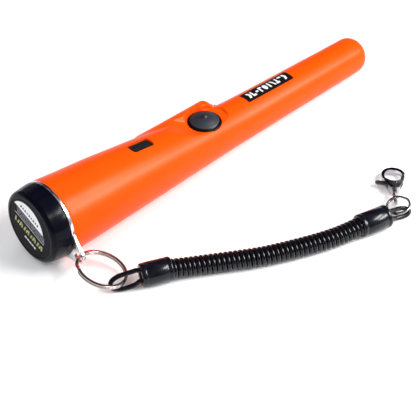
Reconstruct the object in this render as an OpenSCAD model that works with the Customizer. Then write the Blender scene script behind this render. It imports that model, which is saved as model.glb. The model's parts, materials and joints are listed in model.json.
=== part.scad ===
// Pinpointer probe with a coiled lanyard: a tapered housing with a screwed battery cap,
// a push button in a raised shoulder, and the detecting coil in the tip.
// +X runs from the cap to the tip, +Z is up, and the probe lies along its straight underside.

/* [Probe] */
// Length from the cap's rear rim to the tip
probe_len = 230; // [215:1:240]
// Radius of the battery cap
cap_r = 18.9; // [18.5:0.1:19.5]
// Radius where the grip meets the shaft
waist_r = 11.9; // [11.6:0.1:12.2]
// Radius of the shaft at the tip
tip_r = 10.1; // [9.8:0.1:10.6]
// Distance from the cap's rear rim to the waist
waist_at = 124; // [123:1:126]
// Wall thickness of the grip
wall = 1.8; // [1.4:0.1:2]
// Rounding of the tip's edge
tip_round = 6.5; // [4:0.5:8]

/* [Battery cap] */
// Length of the cap
cap_len = 11.5; // [10.5:0.5:13]
// Rounding of the cap's rear edge
cap_edge = 2.4; // [1:0.2:3]
// Radius of the recessed label disc
cap_label_r = 14.6; // [12:0.2:15]
// Radius of the housing's threaded neck
neck_r = 16.9; // [16.6:0.1:17]
// Radial clearance between neck and cap
thread_gap = 0.08; // [0.03:0.01:0.1]

/* [Button] */
// Distance from the cap's rear rim to the button
button_at = 111.5; // [110:0.5:113]
// Radius of the bezel ring around the button
bezel_r = 8.4; // [7.8:0.1:8.6]
// Height of the button's dome
dome_h = 2.6; // [1.5:0.1:3]
// How far the button travels
button_travel = 0.8; // [0.4:0.1:1]

/* [Lanyard] */
// Thickness of the lanyard plate
plate_t = 1.6; // [1.2:0.1:1.8]
// Radius of the tab's hole
tab_hole_r = 2.7; // [2.6:0.1:2.8]
// Diameter of the cord
cord_d = 2.3; // [2:0.1:2.4]
// Outside diameter of the coiled stretch
coil_d = 9.4; // [9:0.1:9.6]
// Diameter of the moulded sleeves
sleeve_d = 11.3; // [10.5:0.1:11.6]

/* [Hidden] */
$fn = 64;

// The grip and the shaft are two cones that lie on the same straight line, z = 0.
rim_at = cap_len + plate_t;
grip_slope = (cap_r - waist_r) / (waist_at - rim_at);
shaft_len = probe_len - waist_at;
shaft_drop = (waist_r - tip_r) / shaft_len;
// The shaft is a little thinner than the grip's end, which hides the moulding's parting line.
waist_step = 0.15;
shaft_slope = (waist_r - waist_step - tip_r) / shaft_len;
grip_tilt = atan(grip_slope);
shaft_tilt = atan(shaft_drop);
function grip_r(s) = cap_r - grip_slope * (s - rim_at);
function shaft_r(s) = waist_r - waist_step - shaft_slope * (s - waist_at);

// The origin is under the middle of the probe.
rear_reach = cap_edge * cos(grip_tilt) - (cap_r - cap_edge) * sin(grip_tilt) - cap_edge;
waist_x = waist_at * cos(grip_tilt);
tip_reach = waist_x + shaft_len * cos(shaft_tilt) + (tip_r - tip_round) * sin(shaft_tilt);
rear_x = -(rear_reach + tip_reach) / 2;
rear_z = grip_r(0) * cos(grip_tilt);

module grip_frame(s = 0)
    translate([rear_x, 0, rear_z]) rotate([0, grip_tilt, 0]) translate([s, 0, 0]) children();
module shaft_frame(s)
    translate([rear_x + waist_x, 0, waist_r * cos(shaft_tilt)]) rotate([0, shaft_tilt, 0])
        translate([s - waist_at, 0, 0]) children();
// A cylinder or cone along +X
module rod(r, h, r2 = -1) rotate([0, 90, 0]) cylinder(r1 = r, r2 = r2 < 0 ? r : r2, h = h);
module tube(r_out, r_in, h) difference() {
    rod(r_out, h);
    translate([-1, 0, 0]) rod(r_in, h + 2);
}
// A revolved outline along +X: x is the distance along the axis, y the radius
module spin() rotate([0, 90, 0]) rotate_extrude() rotate(90) mirror([0, 1]) children();
module round_box(size, r) linear_extrude(size[2], center = true) square_round(size, r);
module square_round(size, r) {
    square([size[0] - 2 * r, size[1]], center = true);
    square([size[0], size[1] - 2 * r], center = true);
    for (sx = [-1, 1], sy = [-1, 1])
        translate([sx * (size[0] / 2 - r), sy * (size[1] / 2 - r)]) circle(r);
}

/* Housing */
hump_tilt_x = -55;
hump_r = 7;
hump_rear_at = 66;
hump_ridge_at = 122;
hump_nose = 5.6;
hump_rear_c = 8.1;
hump_front_c = 10.9;
hump_slope = (hump_front_c - hump_rear_c) / (hump_ridge_at - hump_rear_at);
pocket_len = 47.4;
pocket_y = 27.2;
pocket_z = 18.2;
neck_bore = 15.6;
neck_start = 5.3;
deep_at = 97;
core_r = 8.2;
pocket_floor_z = 22;
slot_at = 68.2;
slot_len = 12.6;
slot_w = 6.6;
boss_at = 61.6;
boss_y = 11.9;
boss_r = 2.6;
boss_len = 9;
screw_r = 1;
lens_r = 2.4;
lens_c = 14.2;

// Turns about the probe's axis so that +Z points out through the hump
module at_hump(s, c) rotate([hump_tilt_x, 0, 0]) translate([s, 0, c]) children();
module button_spot(z)
    translate([rear_x + button_at * cos(grip_tilt), 0, z]) children();

module hump() at_hump(hump_rear_at, hump_rear_c) rotate([0, -atan(hump_slope), 0]) {
    rod(hump_r, hump_ridge_at - hump_rear_at);
    translate([hump_ridge_at - hump_rear_at - 0.01, 0, 0]) rod(hump_r, hump_nose, 1.3);
}
module button_recess() button_spot(pocket_floor_z) {
    cylinder(r = bezel_r + 0.5, h = 12);
    translate([6, 0, 0]) cylinder(r = bezel_r - 0.7, h = 12);
    translate([0, 0, -4]) cylinder(r = 3.2, h = 5);
}
module grip_cavity() {
    translate([neck_start - 1, 0, 0]) rod(neck_bore, 33.4);
    translate([37.6, 0, 0]) rod(neck_bore, deep_at - 37.6, grip_r(deep_at) - wall);
    translate([neck_start + pocket_len / 2, 0, 0]) rotate([0, 90, 0])
        round_box([pocket_z, pocket_y, pocket_len], 2.4);
    translate([deep_at - 1, 0, 0]) rod(core_r, waist_at + 2 - deep_at);
}
module housing() color([1, 0.4, 0.06]) {
    difference() {
        union() {
            grip_frame() {
                translate([neck_start, 0, 0]) rod(neck_r, rim_at - neck_start + 1);
                translate([rim_at, 0, 0]) rod(cap_r, waist_at - rim_at, waist_r);
                hump();
            }
            shaft_frame(waist_at - 3) rod(shaft_r(waist_at - 3), shaft_len + 3 - tip_round, tip_r);
            shaft_frame(probe_len) spin() {
                translate([-tip_round - 1, 0]) square([tip_round + 1, tip_r - tip_round]);
                intersection() {
                    translate([-tip_round, tip_r - tip_round]) circle(tip_round);
                    translate([-tip_round - 1, 0]) square([tip_round + 1, tip_r]);
                }
            }
        }
        grip_frame() grip_cavity();
        shaft_frame(waist_at - 1) rod(core_r - 0.7, 10);
        shaft_frame(waist_at + 6) rod(9.3, shaft_len - 12, 8.1);
        button_recess();
        grip_frame(slot_at) translate([0, 0, grip_r(slot_at)]) round_box([slot_len, slot_w, 8], 1.6);
        grip_frame() at_hump(hump_ridge_at - 5, lens_c) rod(lens_r + 0.05, 12);
        grip_frame() at_hump(hump_ridge_at - 14, lens_c) rod(1.7, 12);
    }
    for (side = [-1, 1])
        grip_frame(boss_at) translate([0, side * boss_y, 0]) tube(boss_r, screw_r, boss_len);
}
module speaker_grille() color([0.03, 0.03, 0.04]) grip_frame(slot_at) difference() {
    translate([0, 0, grip_r(slot_at) - 1.7]) round_box([slot_len - 0.1, slot_w - 0.1, 2.2], 1.55);
    for (row = [-1, 1])
        translate([0, row * 1.5, grip_r(slot_at)]) round_box([8.4, 1.1, 8], 0.5);
}
module button_bezel() color([0.02, 0.02, 0.02]) button_spot(pocket_floor_z) {
    difference() {
        cylinder(r = bezel_r, h = 1.2);
        translate([0, 0, -1]) cylinder(r = bezel_r - 0.8, h = 4);
    }
}
button_r = bezel_r - 0.9;
dome_r = (button_r * button_r + dome_h * dome_h) / (2 * dome_h);
button_base = pocket_floor_z + button_travel + 0.2;
module power_button() color([0.1, 0.12, 0.16]) button_spot(button_base) {
    cylinder(r = button_r, h = 0.7);
    intersection() {
        translate([0, 0, 0.6 + dome_h - dome_r]) sphere(dome_r);
        translate([0, 0, 0.3]) cylinder(r = button_r, h = dome_h + 1);
    }
    translate([0, 0, dome_h]) cylinder(r = 1.1, h = 1);
    translate([0, 0, -3.4]) cylinder(r = 2, h = 4);
}
label_at = 139.5;
label_len = 33.5;
label_w = 7.4;
label_t = 0.25;
module shaft_skin(grow)
    shaft_frame(label_at - 2) rod(shaft_r(label_at - 2) + grow, label_len + 4,
        shaft_r(label_at + label_len + 2) + grow);
module body_label() color([0.03, 0.03, 0.03]) difference() {
    intersection() {
        shaft_skin(label_t);
        shaft_frame(label_at) translate([label_len / 2, 0, 10]) round_box([label_len, label_w, 14], 0.4);
    }
    shaft_skin(0);
}
module led_lens() color([0.9, 0.95, 1, 0.6]) grip_frame() at_hump(hump_ridge_at - 4.9, lens_c) {
    difference() {
        rod(lens_r, 7);
        translate([-1, 0, 0]) rod(1.65, 6);
    }
    translate([7, 0, 0]) spin() intersection() {
        circle(lens_r);
        translate([-0.5, 0]) square([5, 5]);
    }
}
module led() color([0.95, 0.95, 0.9]) grip_frame() at_hump(hump_ridge_at - 9, lens_c) {
    rod(1.5, 7.4);
    translate([7.4, 0, 0]) spin() intersection() {
        circle(1.5);
        translate([-0.5, 0]) square([3, 3]);
    }
}

/* Battery cap */
cap_floor = 3.6;
label_recess = 0.9;
module cap_outline() {
    square([cap_len, cap_r - cap_edge]);
    translate([cap_edge, 0]) square([cap_len - cap_edge - 0.4, cap_r]);
    translate([cap_len - 1, 0]) square([1, cap_r - 0.4]);
    translate([cap_len - 0.4, cap_r - 0.4]) circle(0.4);
    translate([cap_edge, cap_r - cap_edge]) circle(cap_edge);
}
module battery_cap() color([0.04, 0.04, 0.05]) grip_frame() difference() {
    spin() cap_outline();
    translate([-1, 0, 0]) rod(cap_label_r + 0.1, 1 + label_recess + 0.4);
    translate([cap_floor, 0, 0]) rod(neck_r + thread_gap, cap_len);
}
module cap_label() color([0.2, 0.2, 0.22]) grip_frame(label_recess) rod(cap_label_r, 0.4);
module cap_seal() color([0.15, 0.05, 0.05]) grip_frame(cap_floor + 0.05) tube(neck_r - 0.1, 15.4, 1.5);
module battery_pad() color([0.15, 0.15, 0.16]) grip_frame(cap_floor) rod(14, 2.4);

/* Lanyard plate, clamped between cap and housing */
tab_angle = 19;
tab_hole_c = 23.4;
tab_tip_r = 4.1;
module lanyard_plate() color([0.8, 0.8, 0.82]) grip_frame(cap_len) rotate([tab_angle, 0, 0]) difference() {
    union() {
        rod(cap_r - 0.02, plate_t);
        rotate([90, 0, 90]) linear_extrude(plate_t) {
            polygon([[-10, 8.4], [-17.2, 8.4], [-tab_hole_c - 1.6, tab_tip_r - 0.4],
                [-tab_hole_c - 1.6, 0.4 - tab_tip_r], [-17.2, -8.4], [-10, -8.4]]);
            translate([-tab_hole_c, 0]) circle(tab_tip_r);
        }
    }
    translate([-1, 0, 0]) rod(neck_r + 0.1, plate_t + 2);
    translate([-1, -tab_hole_c, 0]) rod(tab_hole_r, plate_t + 2);
}

/* Inside the grip */
battery_at = 6.3;
battery_len = 46;
snap_at = battery_at + battery_len + 0.3;
snap_t = 5.4;
module battery() color([0.75, 0.6, 0.3]) grip_frame(battery_at) {
    translate([battery_len / 2, 0, 0]) rotate([0, 90, 0]) round_box([17.5, 26.5, battery_len], 2);
    translate([battery_len, 6.35, 0]) rod(2.8, 2.4);
    translate([battery_len, -6.35, 0]) rod(3.9, 2.4);
}
module battery_snap() color([0.06, 0.06, 0.06]) grip_frame(snap_at) difference() {
    translate([snap_t / 2, 0, 0]) rotate([0, 90, 0]) round_box([13, 25, snap_t], 3);
    translate([-1, 6.35, 0]) rod(2.9, 3.6);
    translate([-1, -6.35, 0]) rod(4, 3.6);
}
// A tube swept through a list of points, open ends capped
function unit(v) = v / norm(v);
function along(p, i) = unit(p[min(i + 1, len(p) - 1)] - p[max(i - 1, 0)]);
function side_of(t) = unit(cross(t, abs(t[2]) > 0.9 ? [1, 0, 0] : [0, 0, 1]));
function ring_at(p, i, r, n) = let (t = along(p, i), a = side_of(t), b = cross(a, t))
    [for (k = [0:n - 1]) p[i] + r * (cos(360 * k / n) * a + sin(360 * k / n) * b)];
module sweep(p, r, n = 8) polyhedron(
    points = [for (i = [0:len(p) - 1]) each ring_at(p, i, r, n)],
    faces = concat(
        [[for (k = [0:n - 1]) n - 1 - k]],
        [[for (k = [0:n - 1]) (len(p) - 1) * n + k]],
        [for (i = [0:len(p) - 2], k = [0:n - 1]) each let (m = (k + 1) % n)
            [[i * n + k, i * n + m, (i + 1) * n + m], [i * n + k, (i + 1) * n + m, (i + 1) * n + k]]]
    ));
// A smooth curve through hand-picked points, with a few steps between neighbours
function spline_pt(a, b, c, d, u) = 0.5 * (2 * b + (c - a) * u + (2 * a - 5 * b + 4 * c - d) * u * u
    + (3 * b - 3 * c + d - a) * u * u * u);
function smooth(p, steps) = concat([for (i = [0:len(p) - 2], k = [0:steps - 1])
    spline_pt(p[max(i - 1, 0)], p[i], p[i + 1], p[min(i + 2, len(p) - 1)], k / steps)], [p[len(p) - 1]]);

bulkhead_at = 59.4;
board_start = 62.5;
board_top = 2;
board_t = 1.6;
lead_y = 4.2;
lead_route = [[snap_at + snap_t + 0.15, 0, 4.7], [59, 0, 4.8], [60.4, 0, 5], [62.4, 0, 4.9], [63.8, 0, 4.2],
    [64.8, 0, board_top + 0.3]];
module lead(side) grip_frame() translate([0, side * lead_y, 0]) sweep(smooth(lead_route, 2), 0.65);
module lead_positive() color([0.8, 0.05, 0.05]) lead(1);
module lead_negative() color([0.05, 0.05, 0.05]) lead(-1);
module bulkhead() color([0.1, 0.1, 0.11]) grip_frame(bulkhead_at) difference() {
    rod(grip_r(bulkhead_at + 2) - wall - 0.1, 2);
    for (side = [-1, 1]) {
        translate([-1, side * boss_y, 0]) rod(screw_r + 0.1, 4);
        translate([-1, side * lead_y, 5]) rod(1.4, 4);
    }
}
module bulkhead_screws() color([0.7, 0.7, 0.72]) for (side = [-1, 1])
    grip_frame(bulkhead_at) translate([0, side * boss_y, 0]) {
        rod(screw_r, 8);
        translate([-1.2, 0, 0]) difference() {
            rod(1.9, 1.2);
            translate([-0.5, 0, 0]) cube([1.6, 0.5, 3], center = true);
        }
    }
board_len = 59;
module main_board() color([0.05, 0.35, 0.15]) grip_frame(board_start) difference() {
    translate([0, -7, board_top - board_t]) cube([board_len, 14, board_t]);
    for (side = [-1, 1])
        translate([board_len - 3, side * 5, -1]) cylinder(r = 0.8, h = 4);
}
module chips() color([0.05, 0.05, 0.06]) grip_frame(board_start) {
    translate([17, -3, board_top]) cube([7, 6, 1.4]);
    translate([27, -2.5, board_top]) cube([5, 4, 1.4]);
}
module board_parts() color([0.7, 0.6, 0.4]) grip_frame(board_start) {
    for (k = [0:4])
        translate([16 + 3.4 * k, 4, board_top]) cube([1.6, 0.8, 0.6]);
    for (k = [0:3])
        translate([17 + 3.8 * k, -5.4, board_top]) cube([2, 1.2, 0.8]);
    translate([36, 0, board_top]) cylinder(r = 2.5, h = 4.6);
}
switch_x = button_at - board_start;
module button_switch() color([0.2, 0.2, 0.22]) grip_frame(board_start) translate([switch_x, 0, board_top]) {
    translate([-3, -3, 0]) cube([6, 6, 3.2]);
    cylinder(r = 1.6, h = 3.9);
}
module buzzer() color([0.08, 0.08, 0.09]) grip_frame(slot_at + 2.6) translate([0, 0, board_top]) difference() {
    cylinder(r = 5.8, h = 8.5);
    translate([0, 0, 7]) cylinder(r = 1.2, h = 3);
}
motor_z = -5.3;
motor_at = 75;
module motor_can() color([0.75, 0.75, 0.77]) grip_frame(motor_at) translate([0, 0, motor_z]) {
    rod(3.8, 12);
    translate([12, 0, 0]) rod(1.5, 0.8);
    translate([12, 0, 0]) rod(0.4, 6);
}
module motor_weight() color([0.6, 0.55, 0.5]) grip_frame(motor_at + 13.2) translate([0, 0, motor_z])
    rotate([90, 0, 90]) linear_extrude(4) difference() {
        union() {
            intersection() {
                circle(3.6);
                translate([-4, -4]) square([8, 4]);
            }
            circle(1.3);
        }
        circle(0.45);
    }

/* Inside the shaft */
rod_at = 146;
rod_len = 74;
former_r = 5.2;
module ferrite_rod() color([0.2, 0.2, 0.21]) shaft_frame(rod_at) rod(4, rod_len);
module coil_former() color([0.85, 0.82, 0.7]) shaft_frame(rod_at + 1) {
    tube(former_r, 4.02, rod_len - 4);
    for (x = [0, 34, 68])
        translate([x, 0, 0]) tube(7.6, former_r - 0.2, 1.6);
}
module transmit_winding() color([0.7, 0.35, 0.12]) shaft_frame(rod_at + 3) tube(6.9, former_r + 0.02, 31);
module receive_winding() color([0.72, 0.3, 0.1]) shaft_frame(rod_at + 37) tube(6.6, former_r + 0.02, 31);
module tip_potting() color([0.75, 0.75, 0.7]) shaft_frame(rod_at + rod_len + 0.3) rod(8, 3.3);

/* Lanyard: every point is on or above the surface, z = 0 */
ring_c = [-98.6, -32.8, 7.5];
ring_r = 11.5;
ring_tilt = [10.5, 19, 0];
small_ring_c = [35.2, -95.6, 4.2];
small_ring_tilt = [-8, -14, 0];
small_ring_r = 5.5;
sleeve_z = sleeve_d / 2 + 0.05;
coil_z = coil_d / 2 + 0.05;
near_sleeve_from = [-87.5, -46.5, sleeve_z];
near_sleeve_to = [-74, -52.5, sleeve_z];
far_sleeve_from = [8.5, -93.2, sleeve_z];
far_sleeve_to = [24, -97.6, sleeve_z];
near_loop_route = [[-86.6, -44.6, 7.4], [-89.6, -43, 7.1], [-93, -41.4, 6.7], [-96, -40, 6],
    [-98.6, -39.4, 4.8], [-99.8, -40, 3.2], [-99.2, -41.4, 1.9], [-96.8, -43.2, 1.3], [-93.8, -44.8, 1.3],
    [-90.5, -46.4, 2.2], [-87.8, -47.8, 4]];
coil_route = [[-74.4, -52.3, 5.2], [-68, -56, coil_z], [-61, -60.5, coil_z], [-51, -67, coil_z],
    [-39, -74.5, coil_z], [-26, -81, coil_z], [-12, -87, coil_z], [-1.5, -90.5, coil_z], [8.8, -93.3, 5.2]];
far_loop_route = [[23.8, -96.9, 6.8], [26.2, -97, 6.5], [29, -97.4, 5.9], [33.2, -98, 4.9], [36, -98.9, 3.9],
    [37.4, -100.2, 2.9], [36.6, -101.1, 1.9], [34.6, -100.9, 1.35], [31.8, -99.8, 1.3], [28.6, -98.8, 1.9],
    [24, -98.4, 4.2]];
// Two turns of flat wire, side by side
module wire_ring(r, w, h) rotate_extrude() difference() {
    square_at(r, w, h);
    translate([r + w / 2, 0]) rotate(45) square(0.3, center = true);
}
module square_at(r, w, h) translate([r - w / 2, -h / 2]) square([w, h]);
module split_ring() color([0.75, 0.73, 0.72]) translate(ring_c) rotate(ring_tilt) wire_ring(ring_r, 1.5, 1.9);
module small_ring() color([0.75, 0.73, 0.72]) translate(small_ring_c) rotate(small_ring_tilt)
    wire_ring(small_ring_r, 1.1, 1.2);
module near_loop() color([0.03, 0.03, 0.03]) sweep(smooth(near_loop_route, 2), cord_d / 2);
module far_loop() color([0.03, 0.03, 0.03]) sweep(smooth(far_loop_route, 2), cord_d / 2);
module coil() color([0.04, 0.04, 0.04]) sweep(coil_route, coil_d / 2, 12);
module sleeve(from, to) translate(from) rotate([0, 0, atan2(to[1] - from[1], to[0] - from[0])]) spin()
    sleeve_outline(norm(to - from), sleeve_d / 2);
module sleeve_outline(l, r) {
    translate([0.9, 0]) square([l - 1.8, r]);
    square([l, r - 0.9]);
    for (x = [0.9, l - 0.9])
        translate([x, r - 0.9]) circle(0.9);
}
module near_sleeve() color([0.03, 0.03, 0.04]) sleeve(near_sleeve_from, near_sleeve_to);
module far_sleeve() color([0.03, 0.03, 0.04]) sleeve(far_sleeve_from, far_sleeve_to);

/* Clasp: +X runs from the swivel collar to the hook's top, and the gate is on the -Y side */
clasp_at = [42.6, -87.4, 3.3];
clasp_turn = 42.3;
clasp_dip = 3.2;
clasp_t = 4.2;
eye_at = -5.3;
hook_c = 12.2;
hook_long = 1.2;
hook_outer = 5.9;
hook_inner = 4.5;
pivot = [5.6, -0.6];
gate_slot = 2.1;
gap_from = 8.6;
gap_to = 14.2;
module clasp_frame() translate(clasp_at) rotate([0, clasp_dip, clasp_turn]) children();
module clasp_swivel() color([0.78, 0.78, 0.8]) clasp_frame() {
    translate([eye_at, 0, 0]) rotate([72, 0, 0]) difference() {
        cylinder(r = 3.3, h = 1.3, center = true);
        cylinder(r = 2.25, h = 3, center = true);
    }
    translate([-2.6, 0, 0]) rod(1.5, 2.4);
    translate([-0.3, 0, 0]) rod(1, 2.5);
    translate([2.1, 0, 0]) rod(1.5, 1.2);
}
module long_hole(r, long) {
    circle(r);
    translate([long, 0]) circle(r);
    translate([0, -r]) square([long, 2 * r]);
}
module hook_outline() difference() {
    union() {
        polygon([[1.2, -3.2], [7.9, -4.8], [hook_c, -4.8], [hook_c, 4.8], [7.9, 4.8], [1.2, 3.2]]);
        translate([hook_c, 0]) long_hole(hook_outer, hook_long + 0.6);
    }
    translate([hook_c, 0]) long_hole(hook_inner, hook_long);
}
module gate_outline() {
    translate(pivot) circle(1.7);
    polygon([[4.1, -1.4], [9.2, -4.9], [14.6, -5.7], [14.6, -4.4], [9.2, -3], [7.2, -1.2],
        [9, 7.7], [6.1, 7.7], [4.1, -0.4]]);
    translate([7.5, 7.7]) circle(1.5);
}
module clasp_body() color([0.76, 0.76, 0.78]) clasp_frame() difference() {
    translate([0, 0, -clasp_t / 2]) linear_extrude(clasp_t) hook_outline();
    translate([3.75, -8, -gate_slot / 2]) cube([gap_from - 3.75, 17, gate_slot]);
    translate([gap_from - 1, -8, -gate_slot / 2]) cube([gap_to + 2 - gap_from, 7, gate_slot]);
    translate([gap_from, -8, -clasp_t]) cube([gap_to - gap_from, 7, 2 * clasp_t]);
    translate([0.5, 0, 0]) rod(1.15, 1.8);
    translate([2, 0, 0]) rod(1.6, 1.4);
    translate([pivot[0], pivot[1], -3]) cylinder(r = 0.62, h = 6);
}
module clasp_lever() color([0.5, 0.5, 0.53]) clasp_frame() difference() {
    translate([0, 0, -0.9]) linear_extrude(1.3) gate_outline();
    translate([pivot[0], pivot[1], -3]) cylinder(r = 0.66, h = 6);
}
module lever_pin() color([0.6, 0.6, 0.62]) clasp_frame() translate([pivot[0], pivot[1], -clasp_t / 2])
    cylinder(r = 0.6, h = clasp_t);
module lever_spring() color([0.7, 0.7, 0.7]) clasp_frame() translate([pivot[0], pivot[1], 0.5])
    difference() {
        cylinder(r = 1.1, h = 0.45);
        translate([0, 0, -1]) cylinder(r = 0.75, h = 3);
    }

housing();
speaker_grille();
button_bezel();
power_button();
body_label();
led_lens();
led();
battery_cap();
cap_seal();
cap_label();
battery_pad();
lanyard_plate();
battery();
battery_snap();
lead_positive();
lead_negative();
bulkhead();
bulkhead_screws();
main_board();
chips();
board_parts();
button_switch();
buzzer();
motor_can();
motor_weight();
ferrite_rod();
coil_former();
transmit_winding();
receive_winding();
tip_potting();
split_ring();
near_loop();
near_sleeve();
coil();
far_sleeve();
far_loop();
small_ring();
clasp_swivel();
clasp_body();
clasp_lever();
lever_pin();
lever_spring();
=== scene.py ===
import json
import math

import bmesh
import bpy
from mathutils import Matrix, Vector


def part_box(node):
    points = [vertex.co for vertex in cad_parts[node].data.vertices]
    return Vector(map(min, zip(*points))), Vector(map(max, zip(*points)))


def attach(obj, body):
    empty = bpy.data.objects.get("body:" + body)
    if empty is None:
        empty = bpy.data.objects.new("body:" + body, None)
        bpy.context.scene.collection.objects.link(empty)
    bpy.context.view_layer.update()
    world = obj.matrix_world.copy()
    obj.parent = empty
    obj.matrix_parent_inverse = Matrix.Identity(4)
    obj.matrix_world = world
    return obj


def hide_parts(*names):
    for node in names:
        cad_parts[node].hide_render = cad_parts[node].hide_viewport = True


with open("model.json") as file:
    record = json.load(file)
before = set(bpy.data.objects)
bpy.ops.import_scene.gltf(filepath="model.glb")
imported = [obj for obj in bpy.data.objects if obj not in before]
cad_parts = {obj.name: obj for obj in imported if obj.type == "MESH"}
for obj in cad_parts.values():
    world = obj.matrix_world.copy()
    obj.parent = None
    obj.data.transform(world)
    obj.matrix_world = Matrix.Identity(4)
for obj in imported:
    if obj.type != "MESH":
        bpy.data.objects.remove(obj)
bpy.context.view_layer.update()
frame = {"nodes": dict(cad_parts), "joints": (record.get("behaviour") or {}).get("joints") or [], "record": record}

MM = 0.001
NODES = frame["nodes"]
BODY_OF = {n: b for b, ns in frame["record"]["behaviour"]["bodies"].items() for n in ns}
SLOT_OF = {s["node"]: s["material_slot"] for s in frame["record"]["subparts"]}
JOINT = {j["name"]: j for j in frame["joints"]}


# ---------------------------------------------------------------- camera
CAMERA_AZIMUTH = math.radians(43.9)
CAMERA_ELEVATION = math.radians(41.63)
CAMERA_DISTANCE = 0.5553
CAMERA_TARGET = Vector((-0.0296, -0.0315, 0.0))
CAMERA_LENS = 97.7
CAMERA_SENSOR = 36.0


def make_camera():
    data = bpy.data.cameras.new("camera")
    data.lens = CAMERA_LENS
    data.sensor_width = CAMERA_SENSOR
    camera = bpy.data.objects.new("camera", data)
    bpy.context.collection.objects.link(camera)
    forward = Vector((
        math.sin(CAMERA_AZIMUTH) * math.cos(CAMERA_ELEVATION),
        math.cos(CAMERA_AZIMUTH) * math.cos(CAMERA_ELEVATION),
        -math.sin(CAMERA_ELEVATION),
    ))
    camera.location = CAMERA_TARGET - CAMERA_DISTANCE * forward
    camera.rotation_euler = forward.to_track_quat("-Z", "Y").to_euler()
    bpy.context.scene.camera = camera


make_camera()


# ---------------------------------------------------------------- materials
def node_material(name):
    """A new material, its node tree, its shader and a texture coordinate in the object's own space."""
    material = bpy.data.materials.new(name)
    material.use_nodes = True
    tree = material.node_tree
    shader = tree.nodes["Principled BSDF"]
    coordinate = tree.nodes.new("ShaderNodeTexCoord")
    return material, tree, shader, coordinate.outputs["Object"]


def noise(tree, vector, scale, detail=3.0, stretch=None):
    if stretch:
        mapping = tree.nodes.new("ShaderNodeMapping")
        mapping.inputs["Scale"].default_value = stretch
        tree.links.new(vector, mapping.inputs["Vector"])
        vector = mapping.outputs["Vector"]
    node = tree.nodes.new("ShaderNodeTexNoise")
    node.inputs["Scale"].default_value = scale
    node.inputs["Detail"].default_value = detail
    tree.links.new(vector, node.inputs["Vector"])
    return node.outputs["Fac"]


def ramp(tree, value, low, high, start=0.3, end=0.7):
    """Turns a value into a colour that runs from low to high."""
    node = tree.nodes.new("ShaderNodeValToRGB")
    node.color_ramp.elements[0].position = start
    node.color_ramp.elements[0].color = (*low, 1.0)
    node.color_ramp.elements[1].position = end
    node.color_ramp.elements[1].color = (*high, 1.0)
    tree.links.new(value, node.inputs["Fac"])
    return node.outputs["Color"]


def remap(tree, value, low, high):
    node = tree.nodes.new("ShaderNodeMapRange")
    node.inputs["To Min"].default_value = low
    node.inputs["To Max"].default_value = high
    tree.links.new(value, node.inputs["Value"])
    return node.outputs["Result"]


def bump(tree, shader, height, strength, distance):
    node = tree.nodes.new("ShaderNodeBump")
    node.inputs["Strength"].default_value = strength
    node.inputs["Distance"].default_value = distance
    tree.links.new(height, node.inputs["Height"])
    tree.links.new(node.outputs["Normal"], shader.inputs["Normal"])


def surface(name, color, rough, spread=0.12, rough_spread=0.06, metallic=0.0, grain=900.0,
            bump_depth=0.0, bump_scale=2500.0, coat=0.0, coat_rough=0.1, stretch=None, specular=0.5,
            tint=(1.0, 1.0, 1.0)):
    """A moulded, cast or drawn surface: its colour and gloss drift a little, and it has a fine grain."""
    material, tree, shader, space = node_material(name)
    drift = noise(tree, space, grain * 0.05, 4.0)
    low = [c * (1.0 - spread) for c in color]
    high = [min(1.0, c * (1.0 + spread)) for c in color]
    tree.links.new(ramp(tree, drift, low, high), shader.inputs["Base Color"])
    fine = noise(tree, space, grain, 3.0, stretch)
    rough_now = remap(tree, fine, max(0.02, rough - rough_spread), rough + rough_spread)
    tree.links.new(rough_now, shader.inputs["Roughness"])
    shader.inputs["Metallic"].default_value = metallic
    shader.inputs["Specular IOR Level"].default_value = specular
    shader.inputs["Specular Tint"].default_value = (*tint, 1.0)
    shader.inputs["Coat Weight"].default_value = coat
    shader.inputs["Coat Roughness"].default_value = coat_rough
    if bump_depth:
        bump(tree, shader, noise(tree, space, bump_scale, 2.0, stretch), 0.6, bump_depth)
    material.diffuse_color = (*color, 1.0)
    return material


def clear_material(name, color, rough):
    """Clear moulded plastic, with faint swirls."""
    material, tree, shader, space = node_material(name)
    swirl = noise(tree, space, 300.0)
    tree.links.new(ramp(tree, swirl, [c * 0.94 for c in color], color), shader.inputs["Base Color"])
    tree.links.new(remap(tree, swirl, rough * 0.7, rough * 1.3), shader.inputs["Roughness"])
    shader.inputs["Transmission Weight"].default_value = 0.85
    shader.inputs["IOR"].default_value = 1.5
    return material


def sparse_specks(tree, space, scale, size):
    """Small round specks, as in filled rubber."""
    node = tree.nodes.new("ShaderNodeTexVoronoi")
    node.inputs["Scale"].default_value = scale
    tree.links.new(space, node.inputs["Vector"])
    compare = tree.nodes.new("ShaderNodeMath")
    compare.operation = "LESS_THAN"
    compare.inputs[1].default_value = size
    tree.links.new(node.outputs["Distance"], compare.inputs[0])
    return compare.outputs["Value"]


def rubber_material(name, low, high, rough):
    """Matte silicone rubber with pale specks of filler."""
    material, tree, shader, space = node_material(name)
    cloud = noise(tree, space, 160.0)
    base = ramp(tree, cloud, low, high)
    mix = tree.nodes.new("ShaderNodeMix")
    mix.data_type = "RGBA"
    mix.inputs["B"].default_value = (*[min(1.0, c * 1.6) for c in high], 1.0)
    tree.links.new(base, mix.inputs["A"])
    tree.links.new(sparse_specks(tree, space, 2200.0, 0.22), mix.inputs["Factor"])
    tree.links.new(mix.outputs["Result"], shader.inputs["Base Color"])
    tree.links.new(remap(tree, cloud, rough - 0.05, rough + 0.07), shader.inputs["Roughness"])
    bump(tree, shader, noise(tree, space, 3200.0), 0.5, 0.00004)
    return material


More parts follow.
